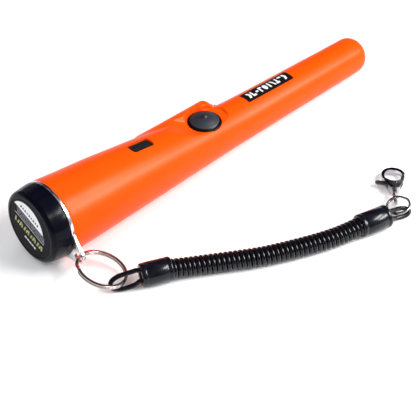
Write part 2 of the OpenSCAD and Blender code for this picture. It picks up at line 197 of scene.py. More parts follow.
def wound_wire(name, color, turns_per_metre, axis):
    """Enamelled wire wound around a rod: fine ridges along the rod's axis."""
    material, tree, shader, space = node_material(name)
    wave = tree.nodes.new("ShaderNodeTexWave")
    wave.bands_direction = axis
    wave.inputs["Scale"].default_value = turns_per_metre / 3.2
    wave.inputs["Distortion"].default_value = 0.4
    tree.links.new(space, wave.inputs["Vector"])
    low = [c * 0.55 for c in color]
    tree.links.new(ramp(tree, wave.outputs["Fac"], low, color), shader.inputs["Base Color"])
    tree.links.new(remap(tree, wave.outputs["Fac"], 0.45, 0.22), shader.inputs["Roughness"])
    bump(tree, shader, wave.outputs["Fac"], 0.8, 0.00015)
    return material


def make_materials():
    return {
        "housing_orange": surface("housing_orange", (0.8, 0.07, 0.0006), 0.33, 0.04, 0.03, grain=1500.0,
                                  bump_depth=0.000012, specular=0.1, tint=(1.0, 0.85, 0.6)),
        "grille_black": surface("grille_black", (0.008, 0.008, 0.009), 0.42,
                                bump_depth=0.00002, specular=0.25),
        "bezel_black": surface("bezel_black", (0.003, 0.003, 0.004), 0.34,
                               bump_depth=0.00001, specular=0.1),
        "button_rubber": rubber_material("button_rubber", (0.007, 0.009, 0.014), (0.014, 0.017, 0.026),
                                         0.5),
        "printed_strip": surface("printed_strip", (0.004, 0.004, 0.005), 0.3, specular=0.2),
        "print_white": surface("print_white", (0.82, 0.82, 0.82), 0.35, 0.05),
        "print_grey": surface("print_grey", (0.25, 0.26, 0.31), 0.4, 0.1),
        "print_olive": surface("print_olive", (0.42, 0.4, 0.14), 0.4, 0.2),
        "printed_disc": surface("printed_disc", (0.003, 0.003, 0.008), 0.3, specular=0.05),
        "lens_clear": clear_material("lens_clear", (0.92, 0.96, 1.0), 0.06),
        "led_white": surface("led_white", (0.9, 0.88, 0.75), 0.15, 0.04, 0.04, coat=0.5),
        "cap_black": surface("cap_black", (0.002, 0.002, 0.006), 0.18, 0.15, 0.03, grain=1200.0,
                             bump_depth=0.000008, specular=0.09),
        "seal_rubber": surface("seal_rubber", (0.1, 0.02, 0.02), 0.5, bump_depth=0.00003),
        "foam": surface("foam", (0.04, 0.04, 0.045), 0.9, 0.3, bump_depth=0.0003, bump_scale=1500.0),
        "plate_steel": surface("plate_steel", (0.72, 0.72, 0.74), 0.16, 0.03, 0.05, 1.0, grain=700.0,
                               bump_depth=0.000006, stretch=(1.0, 12.0, 12.0)),
        "battery_sleeve": surface("battery_sleeve", (0.5, 0.36, 0.12), 0.34, 0.08, coat=0.3),
        "snap_black": surface("snap_black", (0.02, 0.02, 0.022), 0.55, bump_depth=0.00004),
        "lead_red": surface("lead_red", (0.55, 0.02, 0.02), 0.42, bump_depth=0.00003),
        "lead_black": surface("lead_black", (0.015, 0.015, 0.016), 0.42, bump_depth=0.00003),
        "bulkhead_black": surface("bulkhead_black", (0.03, 0.03, 0.034), 0.6, bump_depth=0.00005),
        "screw_steel": surface("screw_steel", (0.6, 0.6, 0.62), 0.28, 0.06, 0.1, 1.0, bump_depth=0.00001),
        "board_green": surface("board_green", (0.01, 0.16, 0.045), 0.32, 0.25, coat=0.4, grain=2200.0,
                               bump_depth=0.00003),
        "chip_black": surface("chip_black", (0.012, 0.012, 0.014), 0.5, 0.2, bump_depth=0.00002),
        "board_parts_tan": surface("board_parts_tan", (0.5, 0.36, 0.2), 0.4, 0.25),
        "switch_grey": surface("switch_grey", (0.06, 0.06, 0.07), 0.4),
        "buzzer_black": surface("buzzer_black", (0.02, 0.02, 0.022), 0.45, bump_depth=0.00003),
        "motor_steel": surface("motor_steel", (0.62, 0.62, 0.64), 0.25, 0.06, 0.1, 1.0,
                               stretch=(1.0, 9.0, 9.0), bump_depth=0.00001),
        "weight_brass": surface("weight_brass", (0.42, 0.3, 0.12), 0.35, 0.15, 0.08, 1.0, bump_depth=0.00002),
        "ferrite": surface("ferrite", (0.045, 0.045, 0.05), 0.6, 0.3, bump_depth=0.00006),
        "former_tan": surface("former_tan", (0.62, 0.55, 0.38), 0.5, 0.08, bump_depth=0.00003),
        "winding_red": wound_wire("winding_red", (0.42, 0.11, 0.03), 3300.0, "X"),
        "winding_brown": wound_wire("winding_brown", (0.46, 0.17, 0.04), 5000.0, "X"),
        "potting": surface("potting", (0.5, 0.5, 0.44), 0.55, 0.1, bump_depth=0.00006),
        "ring_steel": surface("ring_steel", (0.4, 0.355, 0.34), 0.14, 0.16, 0.06, 1.0, grain=800.0,
                              bump_depth=0.000006),
        "cord_black": surface("cord_black", (0.002, 0.002, 0.004), 0.15, 0.2, 0.04,
                              bump_depth=0.00001, specular=0.35),
        "sleeve_black": surface("sleeve_black", (0.003, 0.003, 0.007), 0.2, 0.2, 0.04,
                                bump_depth=0.00001, specular=0.33),
        "clasp_chrome": surface("clasp_chrome", (0.5, 0.48, 0.5), 0.1, 0.14, 0.05, 1.0, grain=500.0,
                                bump_depth=0.00001),
        "lever_grey": surface("lever_grey", (0.09, 0.09, 0.11), 0.34, 0.2, 0.1, 0.85, bump_depth=0.00002),
        "pin_steel": surface("pin_steel", (0.5, 0.5, 0.52), 0.25, 0.1, 0.08, 1.0, bump_depth=0.00001),
        "floor_white": surface("floor_white", (0.93, 0.93, 0.935), 0.55, 0.006, 0.02, grain=40.0),
    }


MATERIALS = make_materials()
for node_name, node_object in NODES.items():
    node_object.data.materials.clear()
    node_object.data.materials.append(MATERIALS[SLOT_OF[node_name]])


# ---------------------------------------------------------------- mesh helpers
def finish_piece(obj, body, slot, replaced=(), material=None, sharp=math.radians(40)):
    """Gives a new piece its material, chosen by slot unless one is given, its shading and its body, and hides the
    CAD nodes that it stands for.
    """
    if obj.type == "MESH":
        obj.data.shade_smooth()
        obj.data.set_sharp_from_angle(angle=sharp)
    obj.data.materials.clear()
    obj.data.materials.append(MATERIALS[material or slot])
    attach(obj, body)
    if replaced:
        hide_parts(*replaced)
    return obj


def mesh_object(name, points, faces):
    mesh = bpy.data.meshes.new(name)
    mesh.from_pydata([tuple(p) for p in points], [], [tuple(f) for f in faces])
    mesh.validate()
    mesh.update()
    obj = bpy.data.objects.new(name, mesh)
    bpy.context.collection.objects.link(obj)
    return obj


def grid_faces(rows, columns):
    """Quads of rows of points, stored row by row, where each row closes on itself."""
    faces = []
    for i in range(rows - 1):
        for k in range(columns):
            i2, k2 = i + 1, (k + 1) % columns
            faces.append((i * columns + k, i * columns + k2, i2 * columns + k2, i2 * columns + k))
    return faces


def joined(name, pieces):
    """Joins printed marks of one ink into one piece."""
    with bpy.context.temp_override(active_object=pieces[0], selected_editable_objects=pieces):
        bpy.ops.object.join()
    pieces[0].name = name


def axis_frame(origin, direction, up=Vector((0, 0, 1))):
    """A matrix whose X axis is direction, with Z as near to up as it can be."""
    x = Vector(direction).normalized()
    y = Vector(up).cross(x).normalized()
    z = x.cross(y)
    turn = Matrix((x, y, z)).transposed().to_4x4()
    return Matrix.Translation(origin) @ turn


ON_AXIS = 1e-9


def revolve(name, outline, place, segments=128, closed=False):
    """Turns an outline of (distance along the axis, radius) about place's X axis.

    An open outline ends on the axis."""
    points, faces = [], []
    rings = []
    for x, r in outline:
        if r < ON_AXIS:
            rings.append([len(points)])
            points.append(place @ Vector((x, 0, 0)))
            continue
        rings.append(list(range(len(points), len(points) + segments)))
        for k in range(segments):
            a = 2 * math.pi * k / segments
            points.append(place @ Vector((x, r * math.cos(a), r * math.sin(a))))
    pairs = list(zip(rings, rings[1:]))
    if closed:
        pairs.append((rings[-1], rings[0]))
    for low, high in pairs:
        for k in range(segments):
            k2 = (k + 1) % segments
            corners = [low[k % len(low)], high[k % len(high)], high[k2 % len(high)], low[k2 % len(low)]]
            face = list(dict.fromkeys(corners))
            if len(face) > 2:
                faces.append(face)
    return mesh_object(name, points, faces)


def arc(center, radius, start, end, steps=8):
    """Points of an arc in an outline. Angles are in degrees."""
    turns = [math.radians(start + (end - start) * i / steps) for i in range(steps + 1)]
    return [(center[0] + radius * math.cos(t), center[1] + radius * math.sin(t)) for t in turns]


def scaled(outline):
    return [(x * MM, r * MM) for x, r in outline]


WELD = 1e-6
FLAT_ANGLE = math.radians(0.6)
EDGE_ANGLE = math.radians(35.0)


def softened(node, width, segments=3):
    """A new piece with a CAD node's shape and rounded edges."""
    mesh = NODES[node].data.copy()
    cleaner = bmesh.new()
    cleaner.from_mesh(mesh)
    bmesh.ops.remove_doubles(cleaner, verts=cleaner.verts, dist=WELD)
    bmesh.ops.dissolve_limit(cleaner, angle_limit=FLAT_ANGLE, verts=cleaner.verts, edges=cleaner.edges)
    cleaner.to_mesh(mesh)
    cleaner.free()
    obj = bpy.data.objects.new(node + "_piece", mesh)
    bpy.context.collection.objects.link(obj)
    bevel = obj.modifiers.new("bevel", "BEVEL")
    bevel.width = width
    bevel.segments = segments
    bevel.limit_method = "ANGLE"
    bevel.angle_limit = EDGE_ANGLE
    bevel.use_clamp_overlap = True
    apply_modifiers(obj)
    return finish_piece(obj, BODY_OF[node], SLOT_OF[node], [node])


def apply_modifiers(obj):
    graph = bpy.context.evaluated_depsgraph_get()
    mesh = bpy.data.meshes.new_from_object(obj.evaluated_get(graph))
    obj.modifiers.clear()
    obj.data = mesh


def smoothstep(low, high, value):
    t = min(1.0, max(0.0, (value - low) / (high - low)))
    return t * t * (3 - 2 * t)


def spline_point(a, b, c, d, u):
    return 0.5 * (2 * b + (c - a) * u + (2 * a - 5 * b + 4 * c - d) * u * u
                  + (3 * b - 3 * c + d - a) * u * u * u)


def smooth_route(route, steps):
    """A smooth curve through given points, with a few steps between neighbours."""
    points = [Vector(p) for p in route]
    out = []
    for i in range(len(points) - 1):
        a, d = points[max(i - 1, 0)], points[min(i + 2, len(points) - 1)]
        out += [spline_point(a, points[i], points[i + 1], d, k / steps) for k in range(steps)]
    return out + [points[-1]]


def resample(points, step):
    """The same curve with evenly spaced points."""
    lengths = [0.0]
    for a, b in zip(points, points[1:]):
        lengths.append(lengths[-1] + (b - a).length)
    count = max(2, round(lengths[-1] / step))
    out, i = [], 0
    for k in range(count + 1):
        want = lengths[-1] * k / count
        while i < len(points) - 2 and lengths[i + 1] < want:
            i += 1
        share = (want - lengths[i]) / (lengths[i + 1] - lengths[i])
        out.append(points[i].lerp(points[i + 1], share))
    return out


# ---------------------------------------------------------------- cord
CORD_D = 2.3
COIL_D = 9.4
SLEEVE_D = 11.3
SLEEVE_Z = SLEEVE_D / 2 + 0.05
COIL_Z = COIL_D / 2 + 0.05
NEAR_SLEEVE = (Vector((-87.5, -46.5, SLEEVE_Z)), Vector((-74, -52.5, SLEEVE_Z)))
FAR_SLEEVE = (Vector((8.5, -93.2, SLEEVE_Z)), Vector((24, -97.6, SLEEVE_Z)))
NEAR_LOOP = [
    (-86.6, -44.6, 7.4), (-89.6, -43, 7.1), (-93, -41.4, 6.7), (-96, -40, 6), (-98.6, -39.4, 4.8),
    (-99.8, -40, 3.2), (-99.2, -41.4, 1.9), (-96.8, -43.2, 1.3), (-93.8, -44.8, 1.3),
    (-90.5, -46.4, 2.2), (-87.8, -47.8, 4),
]
COIL_ROUTE = [
    (-75.6, -51.8, 5.5), (-68, -56, COIL_Z), (-61, -60.5, COIL_Z), (-51, -67, COIL_Z), (-39, -74.5, COIL_Z),
    (-26, -81, COIL_Z), (-12, -87, COIL_Z), (-1.5, -90.5, COIL_Z), (10.2, -93.6, 5.5),
]
FAR_LOOP = [
    (23.8, -96.9, 6.8), (26.2, -97, 6.5), (29, -97.4, 5.9), (33.2, -98, 4.9), (36, -98.9, 3.9),
    (37.4, -100.2, 2.9), (36.6, -101.1, 1.9), (34.6, -100.9, 1.35), (31.8, -99.8, 1.3), (28.6, -98.8, 1.9),
    (24, -98.4, 4.2),
]
PITCH = 2.28
TURN_POINTS = 20
ROUTE_STEPS = 6
STRAND_STEP = 0.6
STRAND_Z = 1.3
EASED = 12
EASE_ROUNDS = 80


def helix_points():
    """The curly stretch: turns about a cord's width apart around the coil's route."""
    line = resample(smooth_route(COIL_ROUTE, ROUTE_STEPS), 0.5)
    length = path_length(line)
    turns = round(length / PITCH)
    count = turns * TURN_POINTS
    line = resample(line, length / count)
    radius = (COIL_D - CORD_D) / 2
    side = Vector((0, 0, 1))
    points = []
    for i, p in enumerate(line):
        along = (line[min(i + 1, len(line) - 1)] - line[max(i - 1, 0)]).normalized()
        side = (side - along * side.dot(along)).normalized()
        other = along.cross(side)
        angle = 2 * math.pi * i / TURN_POINTS
        # the first and last turns draw in towards the sleeve's bore
        reach = radius * smoothstep(0, TURN_POINTS * 0.5, min(i, len(line) - 1 - i) + TURN_POINTS * 0.25)
        points.append(p + reach * (math.cos(angle) * side + math.sin(angle) * other))
    return points


def cord_points():
    near_axis = (NEAR_SLEEVE[1] - NEAR_SLEEVE[0]).normalized()
    far_axis = (FAR_SLEEVE[1] - FAR_SLEEVE[0]).normalized()
    near_mid = (NEAR_SLEEVE[0] + NEAR_SLEEVE[1]) / 2
    far_mid = (FAR_SLEEVE[0] + FAR_SLEEVE[1]) / 2
    helix = helix_points()
    # the cord's end is crimped inside the near sleeve, below the strand that runs on into the coil
    above, below = Vector((0, 0, STRAND_Z)), Vector((0, 0, -STRAND_Z))
    near = [near_mid + below + 2 * near_axis] + [Vector(p) for p in reversed(NEAR_LOOP)]
    near += [near_mid + above - 2 * near_axis]
    far = [far_mid + above + 1.5 * far_axis] + [Vector(p) for p in FAR_LOOP]
    far += [far_mid + below + 1 * far_axis]
    near_line = resample(smooth_route(near, ROUTE_STEPS), STRAND_STEP)
    far_line = resample(smooth_route(far, ROUTE_STEPS), STRAND_STEP)
    route = near_line + helix + far_line
    for joint in (len(near_line), len(near_line) + len(helix)):
        relax(route, joint - EASED, joint + EASED)
    return [p * MM for p in route]


def relax(points, first, last):
    """Straightens the cord where two stretches meet.

    It leaves a sharp corner where the straightened part meets the helix."""
    for _ in range(EASE_ROUNDS):
        for i in range(first, last):
            points[i] = (points[i - 1] + points[i + 1]) / 2


def path_length(points):
    return sum((b - a).length for a, b in zip(points, points[1:]))


def tube_piece(name, points, radius, sides=4):
    """A round cord as a curve of one spline."""
    curve = bpy.data.curves.new(name, "CURVE")
    curve.dimensions = "3D"
    curve.bevel_depth = radius
    curve.bevel_resolution = sides
    curve.use_fill_caps = True
    curve.twist_mode = "MINIMUM"
    spline = curve.splines.new("POLY")
    spline.points.add(len(points) - 1)
    for point, place in zip(spline.points, points):
        point.co = (*place, 1.0)
    spline.use_smooth = True
    obj = bpy.data.objects.new(name, curve)
    bpy.context.collection.objects.link(obj)
    return obj


def make_cord():
    points = cord_points()
    cord = tube_piece("lanyard_cord", points, CORD_D / 2 * MM)
    finish_piece(cord, "lanyard", "cord_black", ["near_loop", "coil", "far_loop"])
    return cord, points


def sleeve_outline(length):
    """A moulded sleeve: rounded ends and a shallow waist line near each end."""
    r = SLEEVE_D / 2
    mouth = 2.9
    return scaled(
        [(1.2, mouth - 0.4), (0.0, mouth + 0.1)] + arc((0.9, r - 0.95), 0.9, 180, 95, 6)
        + [(2.1, r - 0.03), (2.35, r - 0.17), (2.6, r - 0.03), (length * 0.5, r), (length - 2.6, r - 0.03),
           (length - 2.35, r - 0.17), (length - 2.1, r - 0.03)]
        + arc((length - 0.9, r - 0.95), 0.9, 85, 0, 6) + [(length, mouth + 0.1), (length - 1.2, mouth - 0.4)])


def make_sleeve(node, ends):
    axis = ends[1] - ends[0]
    place = axis_frame(ends[0] * MM, axis)
    outline = sleeve_outline(axis.length)
    outline = [(outline[0][0], 0.0)] + outline + [(outline[-1][0], 0.0)]
    piece = revolve(node + "_piece", outline, place, 96)
    return finish_piece(piece, "lanyard", "sleeve_black", [node])


lanyard_cord, CORD_PATH = make_cord()
near_sleeve = make_sleeve("near_sleeve", NEAR_SLEEVE)
far_sleeve = make_sleeve("far_sleeve", FAR_SLEEVE)


# ---------------------------------------------------------------- rings and clasp
def ring_frame(center, tilt):
    turn = Matrix.Rotation(math.radians(tilt[1]), 4, "Y") @ Matrix.Rotation(math.radians(tilt[0]), 4, "X")
    return Matrix.Translation(Vector(center) * MM) @ turn


def split_ring_piece(name, place, radius, wire_w, wire_h, start, step=14.0, segments=150):
    """Two turns of flat wire side by side, with a short ramp from one turn to the other."""
    section = []
    corner = 0.3 * wire_h
    for cx, cy, a0 in ((1, 1, 0), (-1, 1, 90), (-1, -1, 180), (1, -1, 270)):
        for x, y in arc((cx * (wire_w / 2 - corner), cy * (wire_h / 2 - corner)), corner, a0, a0 + 90, 3):
            section.append((x, y))
    count = len(section)
    points = []
    first, last = step, 720.0 - step
    rows = segments * 2
    for i in range(rows + 1):
        degrees = first + (last - first) * i / rows
        lift = wire_h * 0.51 * (2 * smoothstep(360 - step, 360 + step, degrees) - 1)
        taper = min(1.0, 0.55 + 0.45 * min(degrees - first, last - degrees) / 4.0)
        a = math.radians(degrees + start)
        for x, y in section:
            r = radius + x * taper
            z = lift + y * taper
            points.append(place @ (Vector((r * math.cos(a), r * math.sin(a), z)) * MM))
    faces = grid_faces(rows + 1, count)
    faces.append(tuple(range(count)))
    faces.append(tuple(reversed([rows * count + k for k in range(count)])))
    return mesh_object(name, points, faces)


def make_rings():
    ring = split_ring_piece("split_ring_piece", ring_frame((-98.6, -32.8, 7.5), (10.5, 19)), 11.5, 1.5,
                            0.92, 150.0)
    finish_piece(ring, "split_ring", "ring_steel", ["split_ring"])
    small = split_ring_piece("small_ring_piece", ring_frame((35.2, -95.6, 4.2), (-8, -14)), 5.5, 1.1,
                             0.58, 20.0, 18.0, 90)
    finish_piece(small, "small_ring", "ring_steel", ["small_ring"])
    return ring, small


split_ring, small_ring = make_rings()
CLASP_FRAME = axis_frame(Vector(JOINT["clasp_spin"]["pos_m"]), JOINT["clasp_spin"]["axis"],
                         Vector(JOINT["gate_open"]["axis"]))


def slimmed(point):
    """The cast clasp's own shape: a slim hook ring on a body that narrows towards the swivel."""
    x, y, z = point / MM
    narrow = 1 - 0.3 * (1 - smoothstep(1.0, 8.0, x))
    thin = 1 - 0.42 * smoothstep(4.0, 9.0, x)
    return Vector((x - 1.3 * smoothstep(5.6, 17.0, x), y * narrow, z * thin)) * MM


def reshape(obj, frame_matrix, change):
    inverse = frame_matrix.inverted()
    for vertex in obj.data.vertices:
        vertex.co = frame_matrix @ change(inverse @ vertex.co)


clasp_pieces = [
    softened("clasp_body", 0.7 * MM, 5),
    softened("clasp_swivel", 0.28 * MM, 3),
    softened("clasp_lever", 0.3 * MM, 3),
]
reshape(clasp_pieces[0], CLASP_FRAME, slimmed)
reshape(clasp_pieces[2], CLASP_FRAME, lambda p: Vector((slimmed(p).x, p.y, slimmed(p).z * 0.85)))
softened("lanyard_plate", 0.25 * MM, 3)


# ---------------------------------------------------------------- housing
CAP_TURN = JOINT["cap_turn"]
GRIP_AXIS = -Vector(CAP_TURN["axis"])
REAR = Vector(CAP_TURN["pos_m"]) / MM
GRIP_TILT = math.asin(-GRIP_AXIS.z)
SHAFT_TILT = math.radians(0.973)
RIM_AT = 13.1
WAIST_AT = 124.0
TIP_AT = 230.0
TIP_ROUND = 7.6
TIP_FLAT = 2.4
# Radius of the tube at distances from the cap's rear rim
RADII = [
    (0, 19.0), (13.1, 18.85), (24, 18.25), (42, 17.35), (59, 16.25), (74, 15.25), (90, 14.1),
    (109, 12.85), (124, 11.95), (134, 11.55), (157, 11.1), (183, 10.7), (209, 10.35), (230, 10.1),
]
HUMP_ANGLE = -55.0
HUMP_R = 7.0
BUTTON_X = sum(v.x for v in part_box("button_bezel")) / 2 / MM
BEZEL_R = (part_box("button_bezel")[1].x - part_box("button_bezel")[0].x) / 2 / MM
POCKET_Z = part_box("button_bezel")[0].z / MM
SLOT_X = sum(v.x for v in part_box("speaker_grille")) / 2 / MM
SLOT_SIZE = (12.9, 6.9)
SLOT_ROUND = 1.8
SLOT_DEPTH = 1.3


def tube_radius(s):
    """A smooth curve through RADII."""
    i = max(k for k in range(len(RADII) - 1) if RADII[k][0] <= s or k == 0)
    (s0, r0), (s1, r1) = RADII[i], RADII[i + 1]
    before, after = RADII[max(i - 1, 0)], RADII[min(i + 2, len(RADII) - 1)]
    slope = (r1 - r0) / (s1 - s0)
    slope0 = slope if i == 0 else ((r0 - before[1]) / (s0 - before[0]) + slope) / 2
    slope1 = slope if i == len(RADII) - 2 else ((after[1] - r1) / (after[0] - s1) + slope) / 2
    u, w = (s - s0) / (s1 - s0), s1 - s0
    return ((2 * u ** 3 - 3 * u ** 2 + 1) * r0 + (u ** 3 - 2 * u ** 2 + u) * w * slope0
            + (3 * u ** 2 - 2 * u ** 3) * r1 + (u ** 3 - u ** 2) * w * slope1)


def station(s):
    """The tube's centre and tilt at a distance from the cap's rear rim. Its underside lies on z = 0."""
    share = smoothstep(WAIST_AT - 12, WAIST_AT + 12, s)
    tilt = GRIP_TILT * (1 - share) + SHAFT_TILT * share
    x = REAR.x + s * math.cos(GRIP_TILT)
    if s > WAIST_AT:
        x = REAR.x + WAIST_AT * math.cos(GRIP_TILT) + (s - WAIST_AT) * math.cos(SHAFT_TILT)
    z = tube_radius(s) * math.cos(tilt)
    return Vector((x, 0, z)), tilt


def smooth_max(a, b, k):
    h = max(k - abs(a - b), 0.0) / k
    return max(a, b) + h * h * k / 4


def hump_radius(s, angle):
    """How far the shoulder beside the button reaches at an angle from the top, or 0."""
    reach = 8.5 + (10.75 - 8.5) * (s - 66) / (120.5 - 66)
    reach -= 6.5 * smoothstep(78, 58, s)
    r = HUMP_R - 5.4 * smoothstep(120.3, 127.4, s) ** 0.9
    if s < 62 or s > 128:
        return 0.0
    phi = math.radians(angle - HUMP_ANGLE)
    if math.cos(phi) <= 0:
        return 0.0
    across = reach * math.sin(phi)
    if abs(across) >= r:
        return 0.0
    return reach * math.cos(phi) + math.sqrt(r * r - across * across)


def rounded_box_distance(x, y, size, r):
    dx, dy = abs(x) - size[0] / 2 + r, abs(y) - size[1] / 2 + r
    return math.hypot(max(dx, 0), max(dy, 0)) + min(max(dx, dy), 0) - r


def skin_point(s, angle):
    """A point of the housing's outside. The angle is from the top, and positive towards -Y."""
    center, tilt = station(s)
    r = smooth_max(tube_radius(s), hump_radius(s, angle), 0.9)
    a = math.radians(angle)
    y, up = -r * math.sin(a), r * math.cos(a)
    return Vector((center.x + up * math.sin(tilt), y, center.z + up * math.cos(tilt)))


def scooped(p, x, y, out):
    """Eases the skin down towards the button: gently on the far side, steeply under the shoulder."""
    side = (-0.69 * x - 0.72 * y) / max(0.01, math.hypot(x, y))
    slope = 0.42 + 5.0 * smoothstep(0.25, -0.55, side)
    top = POCKET_Z + 0.75 + slope * max(0.0, out)
    return Vector((p.x, p.y, -smooth_max(-p.z, -top, 0.7)))


def button_edge(x, y):
    return math.hypot(x - BUTTON_X, y) - (BEZEL_R + 0.3)


def slot_edge(x, y):
    return rounded_box_distance(x - SLOT_X, y, SLOT_SIZE, SLOT_ROUND)


SNAP_BAND = 0.3
EDGE_OUT, EDGE_IN = 0.02, -0.14
EDGE_MIDDLE = (EDGE_IN + EDGE_OUT) / 2
# Only the skin above this height is near the pocket and the slot
TOP_SIDE_Z = 20


def skin_over(s, angle, x, y):
    """The skin's point above x and y, found from a nearby station and angle."""
    for _ in range(3):
        p = skin_point(s, angle)
        ds = skin_point(s + 0.05, angle) - p
        da = skin_point(s, angle + 0.1) - p
        det = ds.x * da.y - da.x * ds.y
        ex, ey = x - p.x, y - p.y
        s += 0.05 * (ex * da.y - da.x * ey) / det
        angle += 0.1 * (ds.x * ey - ex * ds.y) / det
    return skin_point(s, angle)


def skin_vertex(s, angle):
    """A point of the skin, pulled onto the edge of the pocket or slot where it is close to one."""
    p = skin_point(s, angle)
    if p.z > TOP_SIDE_Z:
        for edge in (button_edge, slot_edge):
            d = edge(p.x, p.y)
            if abs(d) < SNAP_BAND:
                e = 0.02
                gx = (edge(p.x + e, p.y) - edge(p.x - e, p.y)) / (2 * e)
                gy = (edge(p.x, p.y + e) - edge(p.x, p.y - e)) / (2 * e)
                move = (EDGE_OUT if d > 0 else EDGE_IN) - d
                p = skin_over(s, angle, p.x + move * gx, p.y + move * gy)
    return recessed(p)


def recessed(p):
    """Lowers a point into the button's pocket and the speaker's slot."""
    x, y = p.x - BUTTON_X, p.y
    button = button_edge(p.x, p.y)
    crescent = math.hypot(x - 5.6, y) - (BEZEL_R - 0.6)
    if button < 15 and p.z > POCKET_Z - 1:
        p = scooped(p, x, y, button)
    if button < EDGE_MIDDLE and p.z > POCKET_Z:
        p = Vector((p.x, p.y, POCKET_Z))
    elif crescent < 0.8 and x > 0:
        floor_z = POCKET_Z + 0.35 + 0.02 * x
        depth = 1 - smoothstep(-0.7, 0.5, crescent)
        p = Vector((p.x, p.y, p.z - max(0.0, p.z - floor_z) * depth))
    if slot_edge(p.x, p.y) < EDGE_MIDDLE and p.z > TOP_SIDE_Z:
        p = Vector((p.x, p.y, p.z - SLOT_DEPTH))
    return p


def spaced(stops):
    """Values between stops, each with its own spacing: [(from, step), ..., (to, None)]."""
    out = []
    for (a, step), (b, _) in zip(stops, stops[1:]):
        count = max(1, round((b - a) / step))
        out += [a + (b - a) * k / count for k in range(count)]
    return out + [stops[-1][0]]


NECK_FROM = 5.3
THREAD_PITCH = 1.5
THREAD_ROOT = 16.35
THREAD_HEIGHT = 0.5


def thread_radius(s, angle):
    """The neck's thread: one helical ridge that fades at both ends."""
    phase = ((s - NECK_FROM) / THREAD_PITCH - angle / 360.0) % 1.0
    ridge = 0.5 - 0.5 * math.cos(2 * math.pi * phase)
    fade = smoothstep(6.0, 7.2, s) * (1 - smoothstep(11.2, 12.2, s))
    return THREAD_ROOT + THREAD_HEIGHT * ridge * fade


# The bore and the neck's lip: distance from the cap's rear rim, and radius
NECK_INSIDE = [(56, 13.2), (38, 14.9), (8, 15.3), (5.6, 15.35), (5.35, 15.6), (5.35, 16.0)]


def make_housing():
    fine = 0.2
    stations = spaced([(RIM_AT + 0.35, 2.2), (SLOT_X - REAR.x - 9, 0.3), (SLOT_X - REAR.x + 9, 1.0),
                       (BUTTON_X - REAR.x - 16, fine), (BUTTON_X - REAR.x + 17, 1.2), (140, 3.0),
                       (TIP_AT - TIP_ROUND, None)])
    angles = spaced([(-180, 4.0), (-115, 1.5), (-64, 0.85), (46, 2.0), (80, 3.0), (180, None)])[:-1]
    columns = len(angles)
    rows = []

    def neck_ring(s, radius_at):
        out = []
        for a in angles:
            r, t = radius_at(s, a), math.radians(a)
            base = REAR + GRIP_AXIS * s
            up = Vector((math.sin(GRIP_TILT), 0, math.cos(GRIP_TILT)))
            out.append(base + up * r * math.cos(t) + Vector((0, -r * math.sin(t), 0)))
        return out

    rim = tube_radius(RIM_AT)
    for s, r in NECK_INSIDE:
        rows.append(neck_ring(s, lambda s, a, r=r: r))
    for s in spaced([(5.6, 0.25), (RIM_AT - 0.1, None)]):
        rows.append(neck_ring(s, thread_radius))
    rows.append(neck_ring(RIM_AT, lambda s, a: 16.5))
    rows.append(neck_ring(RIM_AT, lambda s, a: rim - 0.4))
    rows.append(neck_ring(RIM_AT + 0.1, lambda s, a: rim - 0.12))
    for s in stations:
        rows.append([skin_vertex(s, a) for a in angles])
    tip_r = tube_radius(TIP_AT - TIP_ROUND)
    steps = 16
    center, tilt = station(TIP_AT - TIP_ROUND)
    along = Vector((math.cos(tilt), 0, -math.sin(tilt)))
    up = Vector((math.sin(tilt), 0, math.cos(tilt)))
    for i in range(1, steps + 1):
        t = math.pi / 2 * i / steps
        s = TIP_AT - TIP_ROUND + TIP_ROUND * math.sin(t)
        r = TIP_FLAT + (tip_r - TIP_FLAT) * math.cos(t) ** 0.92
        base = center + along * (s - (TIP_AT - TIP_ROUND))
        rows.append([base + up * r * math.cos(math.radians(a))
                     + Vector((0, -r * math.sin(math.radians(a)), 0)) for a in angles])
    points = [p * MM for row in rows for p in row]
    faces = grid_faces(len(rows), columns)
    tip_center = len(points)
    points.append(sum((p for p in rows[-1]), Vector()) / columns * MM + GRIP_AXIS * 0.00003)
    last = (len(rows) - 1) * columns
    faces += [(last + k, last + (k + 1) % columns, tip_center) for k in range(columns)]
    inner_center = len(points)
    points.append(sum((p for p in rows[0]), Vector()) / columns * MM)
    faces += [((k + 1) % columns, k, inner_center) for k in range(columns)]
    shell = mesh_object("housing_shell", points, faces)
    return finish_piece(shell, "probe", "housing_orange", ["housing"], sharp=math.radians(48))


make_housing()


# ---------------------------------------------------------------- button, grille and label
def upright(x):
    """A frame whose X axis points up at a place over the probe's middle line."""
    return axis_frame(Vector((x, 0, 0)) * MM, (0, 0, 1), Vector((1, 0, 0)))


def make_button():
    low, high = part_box("power_button")
    crown = high.z / MM
    r = (high.x - low.x) / 2 / MM
    base = POCKET_Z + 0.9
    outline = [(base - 3.2, 0.0), (base - 3.2, 1.9), (base, 2.0), (base, r - 0.35)]
    outline += arc((base + 0.35, r - 0.35), 0.35, 270, 360, 4)[1:-1]
    outline += arc((base + 0.8, r - 0.4), 0.4, 90, 45, 4)
    rise = crown - 1.0 - (base + 1.1)
    for i in range(14):
        u = (i + 1) / 15
        outline.append((base + 1.1 + rise * math.sin(u * math.pi / 2) ** 0.9, (r - 0.7) * (1 - u) + 1.5 * u))
    top = crown - 0.95
    outline += [(top, 1.45), (top + 0.15, 1.15), (crown - 0.28, 1.0), (crown - 0.06, 0.72), (crown, 0.35),
                (crown, 0.0)]
    button = revolve("button_dome", scaled(outline), upright(BUTTON_X), 96)
    finish_piece(button, "power_button", "button_rubber", ["power_button"])


